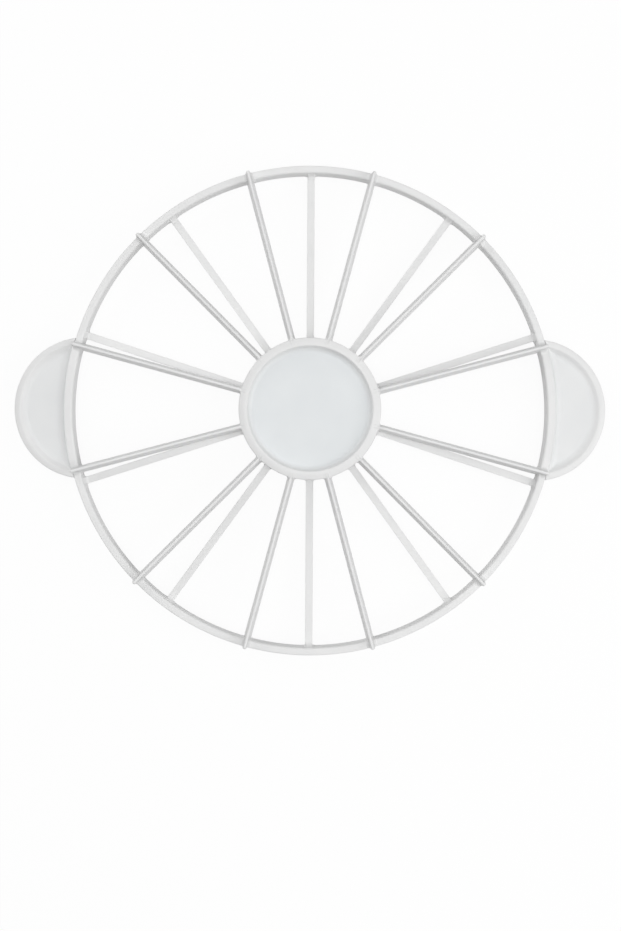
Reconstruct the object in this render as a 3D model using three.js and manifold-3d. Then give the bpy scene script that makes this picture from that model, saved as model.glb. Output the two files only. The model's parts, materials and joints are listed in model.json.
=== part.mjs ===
// Double-sided cake slice marker: a hub and a ring carry marking blades above and below a middle plane,
// one count of slices on each side, and two grips stand out from the ring.
// Millimetres, +Z up. The origin lies under the hub's centre, on the plane that the lower blades stand on.
import * as THREE from "three";
import { mergeVertices } from "three/addons/utils/BufferGeometryUtils.js";
import Module from "manifold-3d";

const wasm = await Module();
wasm.setup();

// Driving dimensions
const clearance = 0.3; // gap between two pieces that seat on each other

const upperCount = 12; // slices marked by the upper side
const lowerCount = 10; // slices marked by the lower side
const bladeHeight = 10.5; // middle plane to crest
const bladeBase = 4.1; // blade thickness at the middle plane
const bladeCrest = 1.4; // blade thickness at the crest

const ringOuterRadius = 135; // at the middle plane, where the ring is widest
const ringWall = 4.3; // at the middle plane
const ringHeight = 8.4;
const ringDraft = 0.1; // taper of each side from the middle plane to the crown
const ringEdge = 0.8; // broken edge at the crown
const ringNotchDepth = 2; // how deep a blade sits in the ring's crown
const ledgeReach = 2.4; // how far the ledge behind a blade's end stands in from the ring
const ledgeWidth = 4.4;

const hubRadius = 39.3; // at the middle plane
const hubDraft = 0.4;
const hubRimWidth = 4.7;
const hubOuterEdge = 1.4; // broken edge round the outside of the rim
const hubInnerEdge = 0.6; // and towards the dish
const hubNotchDepth = 4; // how deep a blade sits in the hub's rim
const hubNotchReach = 2.6; // how far a blade's end enters the rim
const hubDishDepth = 4.6; // from the upper rim down to the floor
const hubFloor = 2.4; // thickness of the disc between the two recesses
const hubFillet = 3; // between the recess's floor and its wall
const hubWallDraft = 1.2;
const crestProud = 0.5; // how far the crests stand above the hub's rim

const gripReach = 28.6; // how far a grip stands out past the ring
const gripRadius = 39.2; // the grip's round outline
const gripHeight = 8.4; // over its rim at the ring
const gripFall = 1.5; // how far each side of the rim falls away to the grip's far end
const gripDraft = 0.4;
const gripRimWidth = 3.4;
const gripEdge = 0.8;
const gripFloor = 2.4;
const gripFillet = 3;
const gripWallDraft = 2.6;
const tongueDepth = 1.6; // groove in the ring that takes the grip's tongue
const tongueShare = 0.75; // of the arc that the grip spans on the ring

// Facets
const ringSteps = 120;
const hubSteps = 60;
const gripSteps = 72;
const filletSteps = 3;
const arcSteps = 12;

// Sizes that follow
const quarterTurn = Math.PI / 2;
const backGap = clearance / 2; // each blade's back to the middle plane
const ringInnerRadius = ringOuterRadius - ringWall;
const ringSeat = ringHeight / 2 - ringNotchDepth; // notch floor above the middle plane
const hubRimTop = bladeHeight - crestProud;
const hubSeat = hubRimTop - hubNotchDepth;
const hubNotchEnd = hubRadius - hubNotchReach;
const hubFloorTop = hubRimTop - hubDishDepth;
const hubFloorUnder = hubFloorTop - hubFloor;
const gripOffset = ringOuterRadius + gripReach - gripRadius; // ring's centre to the centre of the grip's outline
const gripFaceRadius = ringOuterRadius + clearance; // where the grip meets the ring
const gripSpan = Math.acos(
  (gripFaceRadius ** 2 + gripOffset ** 2 - gripRadius ** 2) / (2 * gripFaceRadius * gripOffset),
); // half the angle that the grip covers on the ring
const cutMargin = 5; // how far a cutting solid runs past what it cuts

// Solids from three.js geometry, and back
function solidOf(geometry) {
  const bare = geometry.index ? geometry.toNonIndexed() : geometry.clone();
  bare.deleteAttribute("normal");
  bare.deleteAttribute("uv");
  const merged = mergeVertices(bare, 1e-4);
  const corners = merged.index.array;
  const kept = [];
  for (let i = 0; i < corners.length; i += 3) {
    const [a, b, c] = corners.subarray(i, i + 3);
    if (a !== b && b !== c && c !== a) kept.push(a, b, c);
  }
  const vertProperties = new Float32Array(merged.attributes.position.array);
  return new wasm.Manifold(new wasm.Mesh({ numProp: 3, vertProperties, triVerts: new Uint32Array(kept) }));
}

function geometryOf(solid) {
  const { vertProperties, triVerts } = solid.getMesh();
  const geometry = new THREE.BufferGeometry();
  geometry.setAttribute("position", new THREE.BufferAttribute(new Float32Array(vertProperties), 3));
  geometry.setIndex(new THREE.BufferAttribute(new Uint32Array(triVerts), 1));
  geometry.computeVertexNormals();
  return geometry;
}

function joined(solids) {
  return solids.reduce((whole, next) => whole.add(next));
}

// A profile of [radius, height] points turned about Z
function turned(profile, steps) {
  const points = profile.map(([radius, height]) => new THREE.Vector2(radius, height));
  return new THREE.LatheGeometry(points, steps).rotateX(quarterTurn);
}

// The lower half of a profile that is the same on both sides of the middle plane
function mirrored(upperHalf) {
  return upperHalf.map(([radius, height]) => [radius, -height]).reverse();
}

// A flat piece of a ring about Z, centred on +X
function arcBand(innerRadius, outerRadius, halfAngle, height) {
  const shape = new THREE.Shape();
  shape.absarc(0, 0, outerRadius, -halfAngle, halfAngle, false);
  shape.absarc(0, 0, innerRadius, halfAngle, -halfAngle, true);
  const options = { depth: height, bevelEnabled: false, curveSegments: arcSteps };
  return new THREE.ExtrudeGeometry(shape, options).translate(0, 0, -height / 2);
}

// A blade's tapered section from bottom to top, run along X between two radii.
// grow widens it all round, for the notches and spaces that a blade needs.
function bladeRun(bottom, innerRadius, outerRadius, grow = 0) {
  const top = bladeHeight + grow;
  const lean = (bladeBase - bladeCrest) / (bladeHeight - backGap) / 2;
  const halfWidth = (height) => bladeBase / 2 - lean * (height - backGap) + grow;
  const section = new THREE.Shape([
    new THREE.Vector2(-halfWidth(bottom), bottom),
    new THREE.Vector2(halfWidth(bottom), bottom),
    new THREE.Vector2(halfWidth(top), top),
    new THREE.Vector2(-halfWidth(top), top),
  ]);
  const run = new THREE.ExtrudeGeometry(section, { depth: outerRadius - innerRadius, bevelEnabled: false });
  return run.rotateX(quarterTurn).rotateZ(quarterTurn).translate(innerRadius, 0, 0);
}

// Angles of the blades, so that none points at a grip
const bladeAngle = (index, count) => ((index + 0.5) / count) * 2 * Math.PI;

// A shape along +X repeated for every blade of one side
function forEachBlade(geometry, count) {
  const copies = [];
  for (let index = 0; index < count; index++) {
    copies.push(solidOf(geometry.clone().rotateZ(bladeAngle(index, count))));
  }
  return joined(copies);
}

// The upper side's shape turned over, as the lower side needs it
function turnedOver(geometry) {
  return geometry.clone().rotateX(Math.PI);
}

// Marking blade: its body spans from hub to ring, and both ends step up to sit in a notch
function blade() {
  const body = bladeRun(backGap, hubRadius + clearance, ringInnerRadius - clearance);
  const hubEnd = bladeRun(hubSeat + clearance, hubNotchEnd + clearance, hubRadius + clearance + 1);
  const ringEnd = bladeRun(ringSeat + clearance, ringInnerRadius - clearance - 1, ringOuterRadius);
  return joined([body, hubEnd, ringEnd].map(solidOf));
}

// Ledge on the ring's inner wall that backs a blade's end, sloping down from the crown to the middle plane.
// It is drawn for a blade of the upper side, so it lies below the middle plane.
function ledge() {
  const foot = ringInnerRadius - ledgeReach;
  const root = ringInnerRadius + ringWall / 2;
  const crown = ringHeight / 2 - ringEdge;
  const side = new THREE.Shape([
    new THREE.Vector2(foot, -backGap),
    new THREE.Vector2(foot, -backGap - ringEdge),
    new THREE.Vector2(ringInnerRadius + ringDraft, -crown),
    new THREE.Vector2(root, -crown),
    new THREE.Vector2(root, -backGap),
  ]);
  const run = new THREE.ExtrudeGeometry(side, { depth: ledgeWidth, bevelEnabled: false });
  return run.translate(0, 0, -ledgeWidth / 2).rotateX(quarterTurn);
}

// Ring: a hoop that tapers to a crown on both sides, with ledges and notches for the blades
// and a groove for each grip's tongue
function outerRing() {
  const crown = ringHeight / 2;
  const inner = ringInnerRadius + ringDraft;
  const outer = ringOuterRadius - ringDraft;
  const upperHalf = [
    [ringOuterRadius, 0],
    [outer, crown - ringEdge],
    [outer - ringEdge, crown],
    [inner + ringEdge, crown],
    [inner, crown - ringEdge],
    [ringInnerRadius, 0],
  ];
  const lowerHalf = mirrored(upperHalf).slice(1);
  const hoop = solidOf(turned([...upperHalf, ...lowerHalf], ringSteps));

  const upperSpace = bladeRun(-backGap, hubRadius, ringInnerRadius, clearance);
  const upperSpaces = forEachBlade(upperSpace, upperCount);
  const lowerSpaces = forEachBlade(turnedOver(upperSpace), lowerCount);
  const ledgesBelow = forEachBlade(ledge(), upperCount).subtract(lowerSpaces);
  const ledgesAbove = forEachBlade(turnedOver(ledge()), lowerCount).subtract(upperSpaces);

  const notch = bladeRun(ringSeat, ringInnerRadius - cutMargin, ringOuterRadius + cutMargin, clearance);
  const upperNotches = forEachBlade(notch, upperCount);
  const lowerNotches = forEachBlade(turnedOver(notch), lowerCount);
  const groove = arcBand(
    ringOuterRadius - tongueDepth,
    ringOuterRadius + cutMargin,
    gripSpan * tongueShare + clearance / ringOuterRadius,
    gripFloor + 2 * clearance,
  );
  return joined([hoop, ledgesBelow, ledgesAbove])
    .subtract(upperNotches)
    .subtract(lowerNotches)
    .subtract(solidOf(groove))
    .subtract(solidOf(groove.clone().rotateZ(Math.PI)));
}

// Half of a round dish's section, from the middle plane over the rim and down to the floor's centre
function dishHalf({ radius, draft, rimWidth, rimTop, outerEdge, innerEdge, fillet, wallDraft }, floorHeight) {
  const outer = radius - draft;
  const inner = outer - rimWidth;
  const wallFoot = inner - wallDraft;
  const wallSlope = Math.atan2(rimTop - innerEdge - floorHeight, wallDraft);
  const floorEdge = wallFoot - fillet * Math.tan(wallSlope / 2); // where the fillet runs out into the floor
  const half = [
    [radius, 0],
    [outer, rimTop - outerEdge],
    [outer - outerEdge, rimTop],
    [inner + innerEdge, rimTop],
    [inner, rimTop - innerEdge],
  ];
  for (let step = 0; step <= filletSteps; step++) {
    const angle = wallSlope * (1 - step / filletSteps);
    half.push([floorEdge + fillet * Math.sin(angle), floorHeight + fillet * (1 - Math.cos(angle))]);
  }
  half.push([0, floorHeight]);
  return half;
}

// A round dish that is open above and below its floor. The hub is one, and a grip is cut from one.
function doubleDish(sizes, floorTop, floorUnder, steps) {
  const upperHalf = dishHalf(sizes, floorTop);
  const lowerHalf = mirrored(dishHalf(sizes, -floorUnder));
  return turned([...lowerHalf, ...upperHalf.slice(1)], steps);
}

// Hub: a double dish whose rims are notched for the blades' inner ends
function hub() {
  const sizes = {
    radius: hubRadius,
    draft: hubDraft,
    rimWidth: hubRimWidth,
    rimTop: hubRimTop,
    outerEdge: hubOuterEdge,
    innerEdge: hubInnerEdge,
    fillet: hubFillet,
    wallDraft: hubWallDraft,
  };
  const drum = doubleDish(sizes, hubFloorTop, hubFloorUnder, hubSteps);
  const notch = bladeRun(hubSeat, hubNotchEnd, hubRadius + cutMargin, clearance);
  return solidOf(drum)
    .subtract(forEachBlade(notch, upperCount))
    .subtract(forEachBlade(turnedOver(notch), lowerCount));
}

// Lowers a grip's rim towards its far end and leaves its floor flat
function letFall(geometry) {
  const places = geometry.attributes.position;
  const rimHeight = (gripHeight - gripFloor) / 2;
  for (let index = 0; index < places.count; index++) {
    const height = places.getZ(index);
    const overFloor = Math.max(0, Math.abs(height) - gripFloor / 2);
    const pastRing = Math.max(0, places.getX(index) - ringOuterRadius);
    const fall = (overFloor / rimHeight) * (pastRing / gripReach) * gripFall;
    places.setZ(index, height - Math.sign(height) * fall);
  }
  return geometry;
}

// Grip on +X: the part of a shallow dish that lies outside the ring, with a tongue that enters the ring's groove
function grip() {
  const sizes = {
    radius: gripRadius,
    draft: gripDraft,
    rimWidth: gripRimWidth,
    rimTop: gripHeight / 2,
    outerEdge: gripEdge,
    innerEdge: gripEdge,
    fillet: gripFillet,
    wallDraft: gripWallDraft,
  };
  const dish = doubleDish(sizes, gripFloor / 2, -gripFloor / 2, gripSteps).translate(gripOffset, 0, 0);
  const ringSpace = new THREE.CylinderGeometry(
    gripFaceRadius,
    gripFaceRadius,
    gripHeight + cutMargin,
    ringSteps,
  ).rotateX(quarterTurn);
  const tongue = arcBand(
    ringOuterRadius - tongueDepth + clearance,
    gripFaceRadius + 1,
    gripSpan * tongueShare,
    gripFloor,
  );
  return solidOf(letFall(dish)).subtract(solidOf(ringSpace)).add(solidOf(tongue));
}

// White moulded plastic, a new material for each piece
function plastic() {
  return new THREE.MeshStandardMaterial({ color: 0xe7e8e8, roughness: 0.42, metalness: 0 });
}

function piece(name, solid, turn = 0) {
  const mesh = new THREE.Mesh(geometryOf(solid), plastic());
  mesh.name = name;
  mesh.rotation.z = turn;
  return mesh;
}

// One side's blades, drawn crest up about the middle plane
function bladeSide(name, count) {
  const side = new THREE.Group();
  const solid = blade();
  for (let index = 0; index < count; index++) {
    const number = String(index + 1).padStart(2, "0");
    side.add(piece(`${name}_blade_${number}`, solid, bladeAngle(index, count)));
  }
  return side;
}

const upperSide = bladeSide("upper", upperCount);
const lowerSide = bladeSide("lower", lowerCount);
lowerSide.rotation.x = Math.PI;

const marker = new THREE.Group();
marker.position.z = bladeHeight;
marker.add(piece("outer_ring", outerRing()));
marker.add(piece("hub", hub()));
marker.add(piece("right_grip", grip()));
marker.add(piece("left_grip", grip(), Math.PI));
marker.add(upperSide, lowerSide);

const part = new THREE.Group();
part.add(marker);

export default part;
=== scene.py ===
import json
import math

import bmesh
import bpy
from mathutils import Matrix, Vector

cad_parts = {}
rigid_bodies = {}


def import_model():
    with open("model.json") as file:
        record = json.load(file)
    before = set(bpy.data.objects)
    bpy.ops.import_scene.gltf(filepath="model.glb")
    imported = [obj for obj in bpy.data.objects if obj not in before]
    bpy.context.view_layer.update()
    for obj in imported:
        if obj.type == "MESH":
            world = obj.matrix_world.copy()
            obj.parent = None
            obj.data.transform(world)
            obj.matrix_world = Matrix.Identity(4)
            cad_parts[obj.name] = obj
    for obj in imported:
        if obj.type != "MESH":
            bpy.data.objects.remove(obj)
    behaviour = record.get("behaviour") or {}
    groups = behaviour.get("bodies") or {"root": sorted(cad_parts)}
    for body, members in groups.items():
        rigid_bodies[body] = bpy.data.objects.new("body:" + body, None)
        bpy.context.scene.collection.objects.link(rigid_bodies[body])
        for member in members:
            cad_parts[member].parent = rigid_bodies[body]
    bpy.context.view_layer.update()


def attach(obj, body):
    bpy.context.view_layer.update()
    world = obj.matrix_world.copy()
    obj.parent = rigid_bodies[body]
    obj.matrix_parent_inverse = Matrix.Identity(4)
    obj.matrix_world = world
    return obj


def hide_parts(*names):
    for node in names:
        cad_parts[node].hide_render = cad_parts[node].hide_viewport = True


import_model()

mm = 0.001
midHeight = 10.5  # the middle plane above the plane that the lower crests stand on
weld = 0.002  # closer vertices of one shape are merged
hairline = 0.03  # between two pieces that seat on each other
notchSwell = 0.037  # a notch is cut this much larger than the blade, off the ring's own middle line
sliver = 0.005  # shorter edges are merged away after the boolean steps
overlap = 0.05  # how far shapes that are joined, or a tool and its piece, run into each other
smoothAngle = math.radians(32)  # edges with a sharper fold stay crisp

# Everything is modelled about the middle plane at z = 0 and lifted to midHeight at the end.
# Sizes are in millimetres, and at() turns them into metres where an operator takes them.


def at(x, y, z):
    return (x * mm, y * mm, z * mm)


def holdOnly(piece):
    bpy.ops.object.select_all(action="DESELECT")
    piece.select_set(True)
    bpy.context.view_layer.objects.active = piece


def newPiece(name):
    piece = bpy.context.object
    piece.name = name
    holdOnly(piece)
    bpy.ops.object.transform_apply(location=True, rotation=True, scale=True)
    return piece


def openMesh(piece):
    holdOnly(piece)
    bpy.ops.object.mode_set(mode="EDIT")
    bpy.ops.mesh.select_all(action="DESELECT")


def selectAll():
    bpy.ops.mesh.select_all(action="SELECT")


def closeMesh():
    selectAll()
    bpy.ops.mesh.remove_doubles(threshold=weld * mm)
    bpy.ops.mesh.normals_make_consistent(inside=False)
    bpy.ops.mesh.select_all(action="DESELECT")
    bpy.ops.object.mode_set(mode="OBJECT")


# Selects the vertices, edges or faces that pass a test on their middle, in mm, and on themselves
def pick(piece, kind, test):
    bpy.ops.mesh.select_mode(type=kind)
    bpy.ops.mesh.select_all(action="DESELECT")
    mesh = bmesh.from_edit_mesh(piece.data)
    mesh.normal_update()
    items = {"VERT": mesh.verts, "EDGE": mesh.edges, "FACE": mesh.faces}[kind]
    for item in items:
        if kind == "VERT":
            middle = item.co
        elif kind == "EDGE":
            middle = (item.verts[0].co + item.verts[1].co) / 2
        else:
            middle = item.calc_center_median()
        if test(middle / mm, item):
            item.select_set(True)
    mesh.select_flush_mode()
    bmesh.update_edit_mesh(piece.data)


def near(value, target, slack=0.01):
    return abs(value - target) < slack


def runsAlong(edge, axis):
    line = (edge.verts[1].co - edge.verts[0].co).normalized()
    return abs(line["xyz".index(axis)]) > 0.99


def foldOf(edge):
    return math.degrees(edge.calc_face_angle(0))


def grow(x=0, y=0, z=0):
    bpy.ops.mesh.extrude_region_move(TRANSFORM_OT_translate={"value": at(x, y, z)})


def stretch(x=1, y=1, z=1, about=(0, 0, 0)):
    bpy.ops.transform.resize(value=(x, y, z), center_override=at(*about))


def shift(x=0, y=0, z=0):
    bpy.ops.transform.translate(value=at(x, y, z))


def roundEdges(size, steps, what="EDGES"):
    bpy.ops.mesh.bevel(offset=size * mm, segments=steps, affect=what)


# One boolean step, after which the tool piece is gone
def combine(piece, tool, operation):
    holdOnly(piece)
    step = piece.modifiers.new(operation.lower(), "BOOLEAN")
    step.operation = operation
    step.solver = "MANIFOLD"
    step.object = tool
    bpy.ops.object.modifier_apply(modifier=step.name)
    bpy.data.objects.remove(tool)


# Keeps only the shell that holds the picked vertices, and merges its slivers away
def cleanShell(piece, test):
    openMesh(piece)
    pick(piece, "VERT", test)
    bpy.ops.mesh.select_linked()
    bpy.ops.mesh.select_all(action="INVERT")
    bpy.ops.mesh.delete(type="VERT")
    selectAll()
    bpy.ops.mesh.remove_doubles(threshold=sliver * mm)
    bpy.ops.mesh.dissolve_degenerate(threshold=sliver * mm)
    bpy.ops.object.mode_set(mode="OBJECT")


def turnedCopy(piece, name, turn):
    holdOnly(piece)
    bpy.ops.object.duplicate(linked=False)
    copy = bpy.context.object
    copy.name = name
    copy.rotation_euler = turn
    bpy.ops.object.transform_apply(location=False, rotation=True, scale=False)
    return copy


def joinAll(pieces, name):
    bpy.ops.object.select_all(action="DESELECT")
    for piece in pieces:
        piece.select_set(True)
    bpy.context.view_layer.objects.active = pieces[0]
    bpy.ops.object.join()
    bpy.context.object.name = name
    return bpy.context.object


def smoothShade(piece):
    holdOnly(piece)
    bpy.ops.object.shade_smooth_by_angle(angle=smoothAngle)
    step = piece.modifiers.new("evenNormals", "WEIGHTED_NORMAL")
    step.keep_sharp = True
    bpy.ops.object.modifier_apply(modifier=step.name)


# A flat section in the XZ plane, added at its size and place
def flatSection(name, x, z, width, height, y=0, tilt=0):
    bpy.ops.object.select_all(action="DESELECT")
    bpy.ops.mesh.primitive_plane_add(
        size=mm, location=at(x, y, z), rotation=(math.pi / 2 + tilt, 0, 0)
    )
    bpy.context.object.scale = (width, height, 1)
    return newPiece(name)


# A section with two straight sides and a hollow third one, as of a moulded fillet.
# It is a square with one corner cut back, stretched to its reach.
hollow = {"cut": 0.96, "segments": 8, "profile": 0.086}


def hollowSection(name, rootX, rootZ, reachX, reachZ, y=0):
    sideX, sideZ = math.copysign(1, reachX), math.copysign(1, reachZ)
    piece = flatSection(name, rootX + sideX / 2, rootZ + sideZ / 2, 1, 1, y)
    openMesh(piece)
    pick(piece, "VERT", lambda p, v: (p.x - rootX) * sideX > 0.5 and (p.z - rootZ) * sideZ > 0.5)
    bpy.ops.mesh.bevel(
        offset=hollow["cut"] * mm,
        segments=hollow["segments"],
        affect="VERTICES",
        profile=hollow["profile"],
    )
    selectAll()
    stretch(abs(reachX), 1, abs(reachZ), about=(rootX, 0, rootZ))
    bpy.ops.object.mode_set(mode="OBJECT")
    return piece


# Sweeps a flat section about Z into a closed band that is centred on +X
def sweepBand(piece, halfAngle, steps):
    piece.rotation_euler = (0, 0, -halfAngle)
    holdOnly(piece)
    bpy.ops.object.transform_apply(location=False, rotation=True, scale=False)
    openMesh(piece)
    selectAll()
    bpy.ops.mesh.spin(steps=steps, angle=-2 * halfAngle, center=(0, 0, 0), axis=(0, 0, 1))
    closeMesh()


# The blades of both sides: where they stand and how a shape drawn along +X, crest up, gets there
sides = {"upperCount": 12, "lowerCount": 10}


def upperTurn(index):
    return (0, 0, 2 * math.pi / sides["upperCount"] * (index + 0.5))


def lowerTurn(index):
    return (math.pi, 0, -2 * math.pi / sides["lowerCount"] * (index + 0.5))


def atEveryBlade(shape, name):
    turns = [upperTurn(index) for index in range(sides["upperCount"])]
    turns += [lowerTurn(index) for index in range(sides["lowerCount"])]
    copies = [turnedCopy(shape, name, turn) for turn in turns]
    bpy.data.objects.remove(shape)
    return joinAll(copies, name)


ring = {
    "outerRadius": 135.0,
    "wall": 4.3,
    "height": 8.4,
    "draft": 0.1,
    "innerRound": 1.2,
    "innerSteps": 5,
    "outerRound": 0.65,
    "outerSteps": 4,
    "steps": 288,
    "seat": 2.2,  # floor of a blade's notch
    "blend": 2.6,  # where a blade's flank runs into the ring: reach along the ring
    "blendIn": 0.9,  # and along the blade
    "blendEdge": 0.35,  # from the ring's outer wall to the blend
    "crestBlend": 5.0,  # how far the crown climbs that flank
    "ledgeReach": 2.4,
    "ledgeDrop": 3.8,
    "ledgeHalf": 1.75,
    "ledgeFlare": 1.2,
    "ledgeShares": (0, 0.25, 0.5, 0.7, 0.85, 0.95, 1),  # steps of its hollow sides
    "ledgeRoot": 0.4,  # how far it reaches into the wall
    "ledgeFade": 0.08,  # depth at which its sides fade out
}
ringInner = ring["outerRadius"] - ring["wall"]

hub = {
    "radius": 39.3,
    "draft": 0.4,
    "rimTop": 10.0,
    "rimWidth": 4.6,
    "crestIn": 2.9,  # outer edge to the rim's crest
    "crestFall": 0.9,  # how far the outer edge lies below the crest
    "crestRound": 1.0,
    "rimRound": 0.6,
    "seat": 6.0,
    "floorTop": 5.4,
    "floorUnder": 3.0,
    "fillet": 2.0,
    "wallDraft": 1.2,
    "steps": 160,
    "blend": 1.4,
    "blendIn": 1.1,
    "crestBlend": 0.2,  # how far the rim climbs the crest's side
}

blade = {
    "height": 10.5,
    "base": 4.1,
    "crest": 1.4,
    "crestRound": 0.45,
    "backRound": 0.35,
    "hubEnd": 36.7,
    "hubDrop": 1.3,  # the crest runs down into the hub's rim
    "hubDropStart": 42.0,
    "hubDropRound": 1.5,
    "hubDropSteps": 4,
    "tipRound": 1.3,
    "tipSteps": 5,
    "crestSteps": 4,
    "backSteps": 3,
}
lean = (blade["base"] - blade["crest"]) / 2 / blade["height"]


def flank(height):
    return blade["base"] / 2 - lean * height


# A blade without its rounded edges. The notches are cut with a slightly swollen one.
def bladeBlank(name, swell, inner, outer, hubEnd, ringEnd):
    back, top = hairline - swell, blade["height"] + swell
    hubSeat, ringSeat = hub["seat"] + hairline - swell, ring["seat"] + hairline - swell
    bpy.ops.object.select_all(action="DESELECT")
    bpy.ops.mesh.primitive_cube_add(
        size=1,
        location=at((inner + outer) / 2, 0, (back + top) / 2),
        scale=at(outer - inner, 2 * (flank(back) + swell), top - back),
    )
    piece = newPiece(name)
    openMesh(piece)
    pick(piece, "VERT", lambda p, v: near(p.z, top))
    stretch(1, (flank(top) + swell) / (flank(back) + swell))
    for height in (ringSeat, hubSeat):
        selectAll()
        bpy.ops.mesh.bisect(plane_co=at(0, 0, height), plane_no=(0, 0, 1))
    selectAll()
    bpy.ops.mesh.bisect(plane_co=at(blade["hubDropStart"], 0, 0), plane_no=(1, 0, 0))
    pick(piece, "VERT", lambda p, v: near(p.x, inner) and near(p.z, top))
    shift(z=-blade["hubDrop"])
    # the hub end follows the draft of the hub's wall up to its seat
    pick(piece, "VERT", lambda p, v: near(p.x, inner) and near(p.z, hubSeat))
    shift(x=-hub["draft"] * hubSeat / hub["rimTop"])
    pick(piece, "FACE", lambda p, f: near(p.x, outer) and p.z > ringSeat)
    grow(x=ringEnd - outer)
    pick(piece, "FACE", lambda p, f: p.x < inner + 0.01 and p.z > hubSeat and f.normal.x < -0.9)
    grow(x=hubEnd - inner)
    pick(piece, "VERT", lambda p, v: p.x < inner - 1)
    stretch(x=0, about=(hubEnd, 0, 0))  # a plain upright end
    closeMesh()
    return piece


def bladePiece():
    inner, outer = hub["radius"] + hairline, ringInner - overlap
    tip = ring["outerRadius"]
    piece = bladeBlank("bladeShape", 0, inner, outer, blade["hubEnd"], tip)
    openMesh(piece)
    crestTop = blade["height"]
    pick(
        piece,
        "EDGE",
        lambda p, e: near(p.x, blade["hubDropStart"]) and near(p.z, crestTop) and runsAlong(e, "y"),
    )
    roundEdges(blade["hubDropRound"], blade["hubDropSteps"])
    pick(piece, "EDGE", lambda p, e: near(p.x, tip) and near(p.z, crestTop) and runsAlong(e, "y"))
    roundEdges(blade["tipRound"], blade["tipSteps"])

    def isCrestOrTip(p, e):
        if foldOf(e) < 40:
            return False
        crest = p.z > hub["seat"] + 0.2 and abs(p.y) > 0.3 and p.x < tip - 0.01 and p.x > inner - 5
        end = near(p.x, tip) and p.z > ring["seat"] + 0.2
        return crest or end

    pick(piece, "EDGE", isCrestOrTip)
    roundEdges(blade["crestRound"], blade["crestSteps"])
    pick(piece, "EDGE", lambda p, e: near(p.z, hairline) and runsAlong(e, "x"))
    roundEdges(blade["backRound"], blade["backSteps"])
    closeMesh()
    return piece


# Tool that cuts a blade's notches in the ring and the hub
notch = {"intoWall": 0.04, "pastRing": 5.0}


def notchTool():
    return bladeBlank(
        "notchTool",
        notchSwell,
        hub["radius"] - notch["intoWall"],
        ringInner + notch["intoWall"],
        blade["hubEnd"] - notchSwell,
        ring["outerRadius"] + notch["pastRing"],
    )


# The blend between a blade's flank and the wall that it runs into
blend = {
    "sunk": 0.06,  # how far its thin end lies under the wall's face
    "inBlade": 0.25,  # how far it starts inside the blade's flank
    "shares": (0.0, 0.05, 0.15, 0.3, 0.5, 0.74, 1.0),
    "cornerSteps": 4,
}


# Half of a blend, on the blade's +Y side: the wall's own section, grown away from the blade
# and falling back to the wall along a hollow quarter circle
def blendHalf(name, reach, reachIn, wallRadius, fixedX, top, fall, draft, corner, climb):
    outward = math.copysign(1, wallRadius - fixedX)
    sunk = blend["sunk"]
    steps = [(-blend["inBlade"], 1.0)]
    steps += [(s * reach, 1 - math.sqrt(1 - (1 - s) ** 2)) for s in blend["shares"]]

    def spanAt(offset, rise):
        wallX = math.sqrt(wallRadius**2 - (flank(top / 2) + offset) ** 2)
        return abs(wallX - fixedX) + rise * (reachIn + sunk) - sunk

    def topAt(rise):
        return top - sunk + rise * climb

    width, height = spanAt(*steps[0]), topAt(steps[0][1])
    tilt = math.atan(lean)
    piece = flatSection(
        name,
        fixedX + outward * width / 2,
        0,
        width,
        2 * height / math.cos(tilt),
        flank(0) + steps[0][0],
        tilt,
    )
    openMesh(piece)
    selectAll()
    bpy.ops.mesh.bisect(plane_co=(0, 0, 0), plane_no=(0, 0, 1))
    pick(piece, "VERT", lambda p, v: abs(p.z) > 1 and (p.x - fixedX) * outward > 1)
    shift(x=-outward * draft)
    stretch(z=1 - fall / top)
    pick(piece, "VERT", lambda p, v: abs(p.z) > 1)
    roundEdges(corner, blend["cornerSteps"], "VERTICES")
    bpy.ops.mesh.select_mode(type="FACE")
    selectAll()
    for before, after in zip(steps, steps[1:]):
        grow(y=after[0] - before[0])
        stretch(
            spanAt(*after) / spanAt(*before),
            1,
            topAt(after[1]) / topAt(before[1]),
            about=(fixedX, 0, 0),
        )
    selectAll()
    bpy.ops.mesh.bisect(
        plane_co=at(0, 0, hairline), plane_no=(0, 0, 1), use_fill=True, clear_inner=True
    )
    closeMesh()
    return piece


def blendPair(name, **sizes):
    one = blendHalf(name, **sizes)
    other = turnedCopy(one, name, (0, 0, 0))
    other.scale = (1, -1, 1)
    bpy.ops.object.transform_apply(location=False, rotation=False, scale=True)
    openMesh(other)
    closeMesh()
    return joinAll([one, other], name)


# Hollow ledge on the ring's inner wall that backs a blade's end, just below the middle plane
def ringLedge():
    half, flare, shares = ring["ledgeHalf"], ring["ledgeFlare"], ring["ledgeShares"]
    start = -half - flare
    thin = 0.02  # share of its reach at its ends, and its drop below the middle plane
    piece = hollowSection("ledge", ringInner, -thin, -ring["ledgeReach"], -ring["ledgeDrop"], start)
    rises = [thin] + [1 - math.sqrt(1 - share**2) for share in shares[1:]]
    places = [start + flare * share for share in shares]
    rises, places = rises + rises[::-1], places + [-y for y in reversed(places)]
    rooted = ringInner + ring["ledgeFade"]
    openMesh(piece)
    pick(piece, "VERT", lambda p, v: near(p.x, ringInner, 0.2))
    shift(x=ring["ledgeRoot"])
    bpy.ops.mesh.select_mode(type="FACE")
    selectAll()
    stretch(x=rises[0], about=(rooted, 0, 0))
    for index in range(1, len(places)):
        grow(y=places[index] - places[index - 1])
        stretch(x=rises[index] / rises[index - 1], about=(rooted, 0, 0))
    closeMesh()
    return piece


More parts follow.
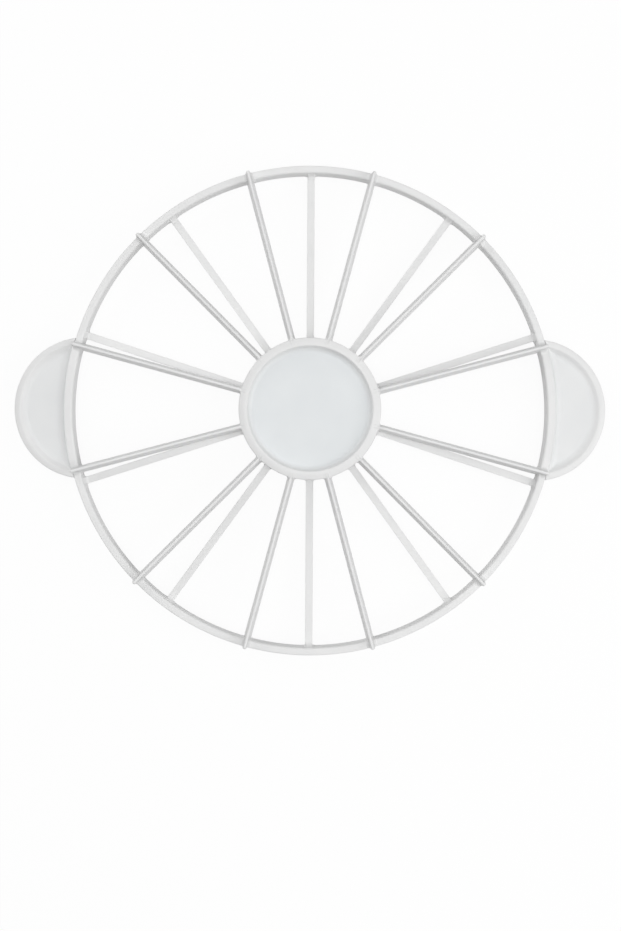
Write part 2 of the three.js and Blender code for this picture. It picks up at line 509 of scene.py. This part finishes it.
# The grips, and where they meet the ring
grip = {
    "reach": 28.6,
    "radius": 39.2,
    "height": 8.4,
    "fall": 1.5,  # how far each side of the rim falls away to the far end
    "draft": 0.4,
    "rimWidth": 3.4,
    "crestIn": 2.2,
    "crestFall": 0.5,
    "crestRound": 0.8,
    "rimRound": 0.5,
    "floorTop": 1.2,
    "floorUnder": -1.2,
    "fillet": 1.4,
    "wallDraft": 2.6,
    "steps": 192,
    "rootReach": 4.7,  # fillet between the web and the ring's crown
    "rootRise": 4.0,
    "rootAngle": math.radians(15.3),
    "rootSink": 0.5,  # how far that fillet reaches into the web
    "rootTop": 0.04,  # and how far it stays below the crown
    "cornerAngle": math.radians(14.9),  # along the grip the ring's crown keeps a square outer corner
    "cornerSize": 1.5,
    "cutDepth": 30.0,  # of the cylinder that leaves the ring's room
    "bandSteps": 40,
    "tongueDepth": 1.6,
    "tongueRoot": 1.0,  # how far the tongue reaches into the web
    "tongueAngle": math.radians(12.2),
    "tongueSteps": 20,
}
gripCentre = ring["outerRadius"] + grip["reach"] - grip["radius"]


def tongueBand(name, swell):
    outer = ring["outerRadius"] + grip["tongueRoot"]
    inner = ring["outerRadius"] - grip["tongueDepth"] + hairline - swell
    height = 2 * (grip["floorTop"] - overlap + swell)
    piece = flatSection(name, (inner + outer) / 2, 0, outer - inner, height)
    sweepBand(piece, grip["tongueAngle"] + swell / ring["outerRadius"], grip["tongueSteps"])
    return piece


def ringPiece():
    width = ring["wall"] - 2 * ring["draft"]
    middle = ring["outerRadius"] - ring["wall"] / 2
    crown = ring["height"] / 2
    piece = flatSection("outerRing", middle, 0, width, ring["height"])
    openMesh(piece)
    selectAll()
    bpy.ops.mesh.bisect(plane_co=(0, 0, 0), plane_no=(0, 0, 1))
    pick(piece, "VERT", lambda p, v: near(p.z, 0))
    stretch(x=ring["wall"] / width, about=(middle, 0, 0))
    pick(piece, "VERT", lambda p, v: abs(p.z) > 1 and p.x < middle)
    roundEdges(ring["innerRound"], ring["innerSteps"], "VERTICES")
    pick(piece, "VERT", lambda p, v: abs(p.z) > 1 and p.x > middle + 1)
    roundEdges(ring["outerRound"], ring["outerSteps"], "VERTICES")
    selectAll()
    bpy.ops.mesh.delete(type="ONLY_FACE")
    pick(piece, "EDGE", lambda p, e: near(p.z, 0) and runsAlong(e, "x"))
    bpy.ops.mesh.delete(type="EDGE")
    bpy.ops.mesh.select_mode(type="EDGE")
    selectAll()
    bpy.ops.mesh.spin(steps=ring["steps"], angle=2 * math.pi, center=(0, 0, 0), axis=(0, 0, 1))
    closeMesh()
    combine(piece, atEveryBlade(ringLedge(), "ledges"), "UNION")
    blends = blendPair(
        "ringBlend",
        reach=ring["blend"],
        reachIn=ring["blendIn"],
        wallRadius=ringInner,
        fixedX=ring["outerRadius"] - ring["blendEdge"],
        top=crown,
        fall=0,
        draft=ring["draft"],
        corner=ring["innerRound"],
        climb=ring["crestBlend"],
    )
    combine(piece, atEveryBlade(blends, "ringBlends"), "UNION")
    combine(piece, atEveryBlade(notchTool(), "ringNotches"), "DIFFERENCE")
    corners, size = [], grip["cornerSize"]
    for side in (1, -1):
        corner = flatSection(
            "corner",
            ring["outerRadius"] - size / 2,
            side * (crown - size / 2),
            size,
            size - hairline,
        )
        sweepBand(corner, grip["cornerAngle"], grip["bandSteps"])
        corners += [corner, turnedCopy(corner, "corner", (0, 0, math.pi))]
    combine(piece, joinAll(corners, "corners"), "UNION")
    groove = tongueBand("groove", hairline)
    otherGroove = turnedCopy(groove, "otherGroove", (0, 0, math.pi))
    combine(piece, joinAll([groove, otherGroove], "grooves"), "DIFFERENCE")
    cleanShell(piece, lambda p, v: math.hypot(p.x, p.y) > ring["outerRadius"] - overlap)
    return piece


# A round dish that is open above and below its floor: the hub is one, and a grip is cut from one
dish = {"filletSteps": 7, "rimSteps": 5, "crestSteps": 4}


def dishBlank(name, sizes, centreX, top):
    bpy.ops.object.select_all(action="DESELECT")
    bpy.ops.mesh.primitive_cylinder_add(
        vertices=sizes["steps"],
        radius=sizes["radius"] * mm,
        depth=2 * top * mm,
        location=at(centreX, 0, 0),
    )
    piece = newPiece(name)
    outer = sizes["radius"] - sizes["draft"]
    inner = outer - sizes["rimWidth"]
    foot = inner - sizes["wallDraft"]
    crestIn = sizes["crestIn"]
    openMesh(piece)
    selectAll()
    bpy.ops.mesh.bisect(plane_co=(0, 0, 0), plane_no=(0, 0, 1))
    pick(piece, "VERT", lambda p, v: abs(p.z) > top - 0.1)
    stretch(outer / sizes["radius"], outer / sizes["radius"], 1, about=(centreX, 0, 0))
    pick(piece, "FACE", lambda p, f: abs(f.normal.z) > 0.9)
    bpy.ops.mesh.inset(thickness=crestIn * mm, use_even_offset=True)
    bpy.ops.mesh.inset(thickness=(sizes["rimWidth"] - crestIn) * mm, use_even_offset=True)
    for side in (1, -1):
        pick(
            piece,
            "VERT",
            lambda p, v: near(p.z, side * top) and math.hypot(p.x - centreX, p.y) > outer - 0.1,
        )
        shift(z=-side * sizes["crestFall"])
    for rim, floor in ((top, sizes["floorTop"]), (-top, sizes["floorUnder"])):
        pick(piece, "FACE", lambda p, f: near(p.z, rim) and math.hypot(p.x - centreX, p.y) < 1)
        grow(z=floor - rim)
        stretch(foot / inner, foot / inner, 1, about=(centreX, 0, 0))
    closeMesh()
    return piece


def roundDish(piece, sizes, centreX):
    crest = sizes["radius"] - sizes["draft"] - sizes["crestIn"]

    def isFoot(p):
        return near(p.z, sizes["floorTop"]) or near(p.z, sizes["floorUnder"])

    def isCrest(p, e):
        return near(math.hypot(p.x - centreX, p.y), crest, 0.2) and foldOf(e) > 5

    openMesh(piece)
    pick(piece, "EDGE", lambda p, e: isFoot(p) and foldOf(e) > 20)
    roundEdges(sizes["fillet"], dish["filletSteps"])
    pick(piece, "EDGE", lambda p, e: foldOf(e) > 20)  # what is left is the rims' edges
    roundEdges(sizes["rimRound"], dish["rimSteps"])
    pick(piece, "EDGE", isCrest)
    roundEdges(sizes["crestRound"], dish["crestSteps"])
    closeMesh()


def hubPiece():
    piece = dishBlank("hubShape", hub, 0, hub["rimTop"])
    roundDish(piece, hub, 0)
    blends = blendPair(
        "hubBlend",
        reach=hub["blend"],
        reachIn=hub["blendIn"],
        wallRadius=hub["radius"],
        fixedX=hub["radius"] - hub["draft"] - hub["crestIn"],
        top=hub["rimTop"],
        fall=hub["crestFall"],
        draft=hub["draft"],
        corner=hub["rimRound"],
        climb=hub["crestBlend"],
    )
    combine(piece, atEveryBlade(blends, "hubBlends"), "UNION")
    combine(piece, atEveryBlade(notchTool(), "hubNotches"), "DIFFERENCE")
    cleanShell(piece, lambda p, v: near(p.z, hub["floorTop"]))
    return piece


def gripPiece():
    top = grip["height"] / 2
    piece = dishBlank("gripShape", grip, gripCentre, top)
    fallAngle = math.atan2(grip["fall"], grip["reach"])
    openMesh(piece)
    for side in (1, -1):
        pick(piece, "VERT", lambda p, v: p.z * side > top - grip["crestFall"] - 0.1)
        bpy.ops.transform.rotate(
            value=-side * fallAngle,
            orient_axis="Y",
            center_override=at(ring["outerRadius"], 0, side * top),
        )
    closeMesh()
    roundDish(piece, grip, gripCentre)
    wall = ring["outerRadius"] + hairline
    bpy.ops.object.select_all(action="DESELECT")
    bpy.ops.mesh.primitive_cylinder_add(
        vertices=ring["steps"], radius=wall * mm, depth=grip["cutDepth"] * mm
    )
    combine(piece, newPiece("ringSpace"), "DIFFERENCE")
    strips = []
    for side in (1, -1):
        strip = hollowSection(
            "rootFillet", wall, side * grip["floorTop"], grip["rootReach"], side * grip["rootRise"]
        )
        openMesh(strip)
        pick(strip, "VERT", lambda p, v: abs(p.z) < grip["floorTop"] + 0.03)
        shift(z=-side * grip["rootSink"])
        selectAll()
        bpy.ops.mesh.bisect(
            plane_co=at(0, 0, side * (top - grip["rootTop"])), plane_no=(0, 0, side), clear_outer=True
        )
        bpy.ops.object.mode_set(mode="OBJECT")
        sweepBand(strip, grip["rootAngle"], grip["bandSteps"])
        strips.append(strip)
    combine(piece, joinAll(strips, "rootFillets"), "UNION")
    combine(piece, tongueBand("tongue", 0), "UNION")
    cleanShell(piece, lambda p, v: p.x > ring["outerRadius"] + grip["rootReach"])
    return piece


def lift(piece, name, node):
    holdOnly(piece)
    bpy.ops.transform.translate(value=at(0, 0, midHeight))
    bpy.ops.object.transform_apply(location=True, rotation=True, scale=True)
    smoothShade(piece)
    piece.name = name
    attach(piece, "root")
    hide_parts(node)
    return piece


pieces = []
pieces.append(lift(ringPiece(), "outerRing", "outer_ring"))
print("ring done", len(pieces[-1].data.polygons))
pieces.append(lift(hubPiece(), "dishedHub", "hub"))
print("hub done", len(pieces[-1].data.polygons))
rightGrip = gripPiece()
leftGrip = turnedCopy(rightGrip, "leftGripShape", (0, 0, math.pi))
pieces.append(lift(rightGrip, "rightGrip", "right_grip"))
pieces.append(lift(leftGrip, "leftGrip", "left_grip"))
print("grips done", len(pieces[-1].data.polygons))
bladeShape = bladePiece()
for index in range(sides["upperCount"]):
    number = f"{index + 1:02d}"
    copy = turnedCopy(bladeShape, "bladeCopy", upperTurn(index))
    pieces.append(lift(copy, f"upperBlade{number}", f"upper_blade_{number}"))
for index in range(sides["lowerCount"]):
    number = f"{index + 1:02d}"
    copy = turnedCopy(bladeShape, "bladeCopy", lowerTurn(index))
    pieces.append(lift(copy, f"lowerBlade{number}", f"lower_blade_{number}"))
bpy.data.objects.remove(bladeShape)
print("blades done", len(pieces[-1].data.polygons))


# White plastic out of a polished mould: a faint cloudiness, a slightly uneven gloss and a soft waviness
plastic = {
    "paleTone": (0.85, 0.85, 0.847, 1),
    "deepTone": (0.82, 0.822, 0.822, 1),
    "hubFloorPaintedShade": (0.935, 0.965, 0.98, 1),  # painted shade: the hub's floor is coloured darker and cooler, in place of light through the thin floor and shade in the dish
    # painted shade: the grips' webs are coloured a little darker and cooler in the same way
    "webPaintedShade": (0.972, 0.982, 0.986, 1),
    "cloudSize": 55.0,  # patterns per metre
    "cloudDetail": 3,
    "cloudRoughness": 0.45,
    "cloudSpread": (0.3, 0.7),  # noise values that give the pale and the deep tone
    "grainSize": 1400.0,
    "grainDetail": 2,
    "grainShare": 0.25,  # of the waviness
    "glossLow": 0.4,
    "glossHigh": 0.52,
    "wave": 0.06,
    "waveDepth": 0.2,
}


def mouldedSurface():
    group = bpy.data.node_groups.new("mouldedSurface", "ShaderNodeTree")
    sockets = group.interface
    sockets.new_socket("Vector", in_out="INPUT", socket_type="NodeSocketVector")
    sockets.new_socket("Cloud Scale", in_out="INPUT", socket_type="NodeSocketFloat")
    sockets.new_socket("Grain Scale", in_out="INPUT", socket_type="NodeSocketFloat")
    sockets.new_socket("Cloud", in_out="OUTPUT", socket_type="NodeSocketFloat")
    sockets.new_socket("Gloss", in_out="OUTPUT", socket_type="NodeSocketFloat")
    sockets.new_socket("Height", in_out="OUTPUT", socket_type="NodeSocketFloat")
    nodes, links = group.nodes, group.links
    given = nodes.new("NodeGroupInput")
    put = nodes.new("NodeGroupOutput")
    cloud = nodes.new("ShaderNodeTexNoise")
    cloud.inputs["Detail"].default_value = plastic["cloudDetail"]
    cloud.inputs["Roughness"].default_value = plastic["cloudRoughness"]
    grain = nodes.new("ShaderNodeTexNoise")
    grain.inputs["Detail"].default_value = plastic["grainDetail"]
    links.new(given.outputs["Vector"], cloud.inputs["Vector"])
    links.new(given.outputs["Vector"], grain.inputs["Vector"])
    links.new(given.outputs["Cloud Scale"], cloud.inputs["Scale"])
    links.new(given.outputs["Grain Scale"], grain.inputs["Scale"])
    spread = nodes.new("ShaderNodeMapRange")
    spread.inputs["From Min"].default_value = plastic["cloudSpread"][0]
    spread.inputs["From Max"].default_value = plastic["cloudSpread"][1]
    links.new(cloud.outputs["Fac"], spread.inputs["Value"])
    mixed = nodes.new("ShaderNodeMath")
    mixed.operation = "MULTIPLY_ADD"
    mixed.inputs[1].default_value = plastic["grainShare"]
    links.new(grain.outputs["Fac"], mixed.inputs[0])
    links.new(cloud.outputs["Fac"], mixed.inputs[2])
    links.new(spread.outputs["Result"], put.inputs["Cloud"])
    links.new(grain.outputs["Fac"], put.inputs["Gloss"])
    links.new(mixed.outputs["Value"], put.inputs["Height"])
    return group


# Mask of a dish's floor, where the painted shade goes: full inside, fading out over the foot of its
# wall
def dishFloor():
    group = bpy.data.node_groups.new("dishFloor", "ShaderNodeTree")
    sockets = group.interface
    sockets.new_socket("Vector", in_out="INPUT", socket_type="NodeSocketVector")
    sockets.new_socket("Floor Radius", in_out="INPUT", socket_type="NodeSocketFloat")
    sockets.new_socket("Rim Radius", in_out="INPUT", socket_type="NodeSocketFloat")
    sockets.new_socket("Floor", in_out="OUTPUT", socket_type="NodeSocketFloat")
    nodes, links = group.nodes, group.links
    given = nodes.new("NodeGroupInput")
    put = nodes.new("NodeGroupOutput")
    distance = nodes.new("ShaderNodeVectorMath")
    distance.operation = "LENGTH"
    fade = nodes.new("ShaderNodeMapRange")
    fade.interpolation_type = "SMOOTHSTEP"
    fade.inputs["To Min"].default_value = 1
    fade.inputs["To Max"].default_value = 0
    links.new(given.outputs["Vector"], distance.inputs[0])
    links.new(distance.outputs["Value"], fade.inputs["Value"])
    links.new(given.outputs["Floor Radius"], fade.inputs["From Min"])
    links.new(given.outputs["Rim Radius"], fade.inputs["From Max"])
    links.new(fade.outputs["Result"], put.inputs["Floor"])
    return group


surfaceGroup, floorGroup = mouldedSurface(), dishFloor()


# The painted shade darkens and cools the floor of a dish about centreX, on a piece that has one
def whitePlastic(name, sizes=None, centreX=0, paintedShade=None):
    material = bpy.data.materials.new(name)
    material.use_nodes = True
    nodes, links = material.node_tree.nodes, material.node_tree.links
    surface = nodes["Principled BSDF"]
    place = nodes.new("ShaderNodeTexCoord")
    moulded = nodes.new("ShaderNodeGroup")
    moulded.node_tree = surfaceGroup
    moulded.inputs["Cloud Scale"].default_value = plastic["cloudSize"]
    moulded.inputs["Grain Scale"].default_value = plastic["grainSize"]
    links.new(place.outputs["Object"], moulded.inputs["Vector"])
    tone = nodes.new("ShaderNodeMix")
    tone.data_type = "RGBA"
    tone.inputs["A"].default_value = plastic["paleTone"]
    tone.inputs["B"].default_value = plastic["deepTone"]
    links.new(moulded.outputs["Cloud"], tone.inputs["Factor"])
    colour = tone.outputs["Result"]
    if paintedShade:
        centred = nodes.new("ShaderNodeMapping")
        centred.inputs["Location"].default_value = at(-centreX, 0, 0)
        centred.inputs["Scale"].default_value = (1, 1, 0)
        links.new(place.outputs["Object"], centred.inputs["Vector"])
        inner = sizes["radius"] - sizes["draft"] - sizes["rimWidth"]
        floor = nodes.new("ShaderNodeGroup")
        floor.node_tree = floorGroup
        floor.inputs["Floor Radius"].default_value = (inner - sizes["wallDraft"] - sizes["fillet"]) * mm
        floor.inputs["Rim Radius"].default_value = inner * mm
        links.new(centred.outputs["Vector"], floor.inputs["Vector"])
        # painted shade: multiplies the colour on the dish floor darker and cooler
        paintedShadeMix = nodes.new("ShaderNodeMix")
        paintedShadeMix.data_type = "RGBA"
        paintedShadeMix.blend_type = "MULTIPLY"
        links.new(floor.outputs["Floor"], paintedShadeMix.inputs["Factor"])
        links.new(colour, paintedShadeMix.inputs["A"])
        paintedShadeMix.inputs["B"].default_value = paintedShade
        colour = paintedShadeMix.outputs["Result"]
    links.new(colour, surface.inputs["Base Color"])
    gloss = nodes.new("ShaderNodeMapRange")
    gloss.inputs["To Min"].default_value = plastic["glossLow"]
    gloss.inputs["To Max"].default_value = plastic["glossHigh"]
    links.new(moulded.outputs["Gloss"], gloss.inputs["Value"])
    links.new(gloss.outputs["Result"], surface.inputs["Roughness"])
    bump = nodes.new("ShaderNodeBump")
    bump.inputs["Strength"].default_value = plastic["wave"]
    bump.inputs["Distance"].default_value = plastic["waveDepth"] * mm
    links.new(moulded.outputs["Height"], bump.inputs["Height"])
    links.new(bump.outputs["Normal"], surface.inputs["Normal"])
    return material


plainWhite = whitePlastic("whitePlastic")
dishWhites = {
    "dishedHub": whitePlastic("hubPlastic", hub, 0, plastic["hubFloorPaintedShade"]),
    "rightGrip": whitePlastic("rightGripPlastic", grip, gripCentre, plastic["webPaintedShade"]),
    "leftGrip": whitePlastic("leftGripPlastic", grip, -gripCentre, plastic["webPaintedShade"]),
}
for piece in pieces:
    piece.data.materials.clear()
    piece.data.materials.append(dishWhites.get(piece.name, plainWhite))
print("finish done")


# Camera almost straight above, a little towards the lower edge of the picture
view = {
    "distance": 522.0,
    "tilt": math.radians(1.6),
    "roll": math.radians(0.3),
    "pixelsPerMm": 1.8026,
    "centre": (309.9, 409.0),  # where the hub's centre lies in the picture
    "picture": (621, 931),
    "sensor": 36,
}


def placeCamera():
    wide, tall = view["picture"]
    data = bpy.data.cameras.new("camera")
    data.sensor_width = view["sensor"]
    data.lens = view["pixelsPerMm"] * view["distance"] / tall * view["sensor"]
    data.shift_x = (wide / 2 - view["centre"][0]) / tall
    data.shift_y = -(tall / 2 - view["centre"][1]) / tall
    camera = bpy.data.objects.new("camera", data)
    bpy.context.scene.collection.objects.link(camera)
    camera.matrix_world = (
        Matrix.Translation(at(0, 0, midHeight))
        @ Matrix.Rotation(view["tilt"], 4, "X")
        @ Matrix.Rotation(view["roll"], 4, "Z")
        @ Matrix.Translation(at(0, 0, view["distance"]))
    )
    bpy.context.scene.camera = camera


placeCamera()
print("camera done")


# Pale floor and soft studio light
studio = {
    "floorSize": 8.0,
    "floorDrop": 0.02,  # mm below the lower crests
    "floorTone": (0.62, 0.62, 0.62, 1),
    "floorWhite": 0.93,  # share of the floor's white that takes no shadow
    "skyLight": 0.34,
    "lampDistance": 1.3,  # metres
    "lampSize": 0.9,
    "lamps": {  # degrees round from +X, degrees up, watts
        "overhead": (0, 90, 4.55),
        "key": (350, 32, 4.4),
        "side": (315, 55, 2.0),
        "fill": (135, 32, 3.5),
    },
}


def seenRays(nodes, links):
    path = nodes.new("ShaderNodeLightPath")
    total = path.outputs["Is Camera Ray"]
    for name in ("Is Glossy Ray", "Is Transmission Ray"):
        both = nodes.new("ShaderNodeMath")
        both.operation = "MAXIMUM"
        links.new(total, both.inputs[0])
        links.new(path.outputs[name], both.inputs[1])
        total = both.outputs["Value"]
    return total


def makeFloor():
    bpy.ops.object.select_all(action="DESELECT")
    bpy.ops.mesh.primitive_plane_add(size=studio["floorSize"], location=at(0, 0, -studio["floorDrop"]))
    floor = newPiece("floor")
    paint = bpy.data.materials.new("floorPaint")
    paint.use_nodes = True
    nodes, links = paint.node_tree.nodes, paint.node_tree.links
    nodes.remove(nodes["Principled BSDF"])
    matt = nodes.new("ShaderNodeBsdfDiffuse")
    matt.inputs["Color"].default_value = studio["floorTone"]
    pale = nodes.new("ShaderNodeBsdfDiffuse")
    pale.inputs["Color"].default_value = (1, 1, 1, 1)
    glow = nodes.new("ShaderNodeEmission")
    seen = nodes.new("ShaderNodeMixShader")
    seen.inputs["Fac"].default_value = studio["floorWhite"]
    links.new(pale.outputs["BSDF"], seen.inputs[1])
    links.new(glow.outputs["Emission"], seen.inputs[2])
    choose = nodes.new("ShaderNodeMixShader")
    links.new(seenRays(nodes, links), choose.inputs["Fac"])
    links.new(matt.outputs["BSDF"], choose.inputs[1])
    links.new(seen.outputs["Shader"], choose.inputs[2])
    links.new(choose.outputs["Shader"], nodes["Material Output"].inputs["Surface"])
    floor.data.materials.append(paint)


def makeSky():
    world = bpy.data.worlds.new("studioSky")
    bpy.context.scene.world = world
    world.use_nodes = True
    nodes, links = world.node_tree.nodes, world.node_tree.links
    plain = nodes["Background"]
    plain.inputs["Color"].default_value = (1, 1, 1, 1)
    plain.inputs["Strength"].default_value = studio["skyLight"]
    white = nodes.new("ShaderNodeBackground")
    white.inputs["Color"].default_value = (1, 1, 1, 1)
    choose = nodes.new("ShaderNodeMixShader")
    links.new(seenRays(nodes, links), choose.inputs["Fac"])
    links.new(plain.outputs["Background"], choose.inputs[1])
    links.new(white.outputs["Background"], choose.inputs[2])
    links.new(choose.outputs["Shader"], nodes["World Output"].inputs["Surface"])


def addLamp(name, turn, rise, power):
    data = bpy.data.lights.new(name, "AREA")
    data.shape = "DISK"
    data.size = studio["lampSize"]
    data.energy = power
    lamp = bpy.data.objects.new(name, data)
    bpy.context.scene.collection.objects.link(lamp)
    aside = math.cos(math.radians(rise))
    way = Vector(
        (
            aside * math.cos(math.radians(turn)),
            aside * math.sin(math.radians(turn)),
            math.sin(math.radians(rise)),
        )
    )
    lamp.location = studio["lampDistance"] * way
    lamp.rotation_euler = (-way).to_track_quat("-Z", "Y").to_euler()


makeFloor()
makeSky()
for name, (turn, rise, power) in studio["lamps"].items():
    addLamp(name, turn, rise, power)
bpy.context.scene.view_settings.view_transform = "Standard"
print("studio done")
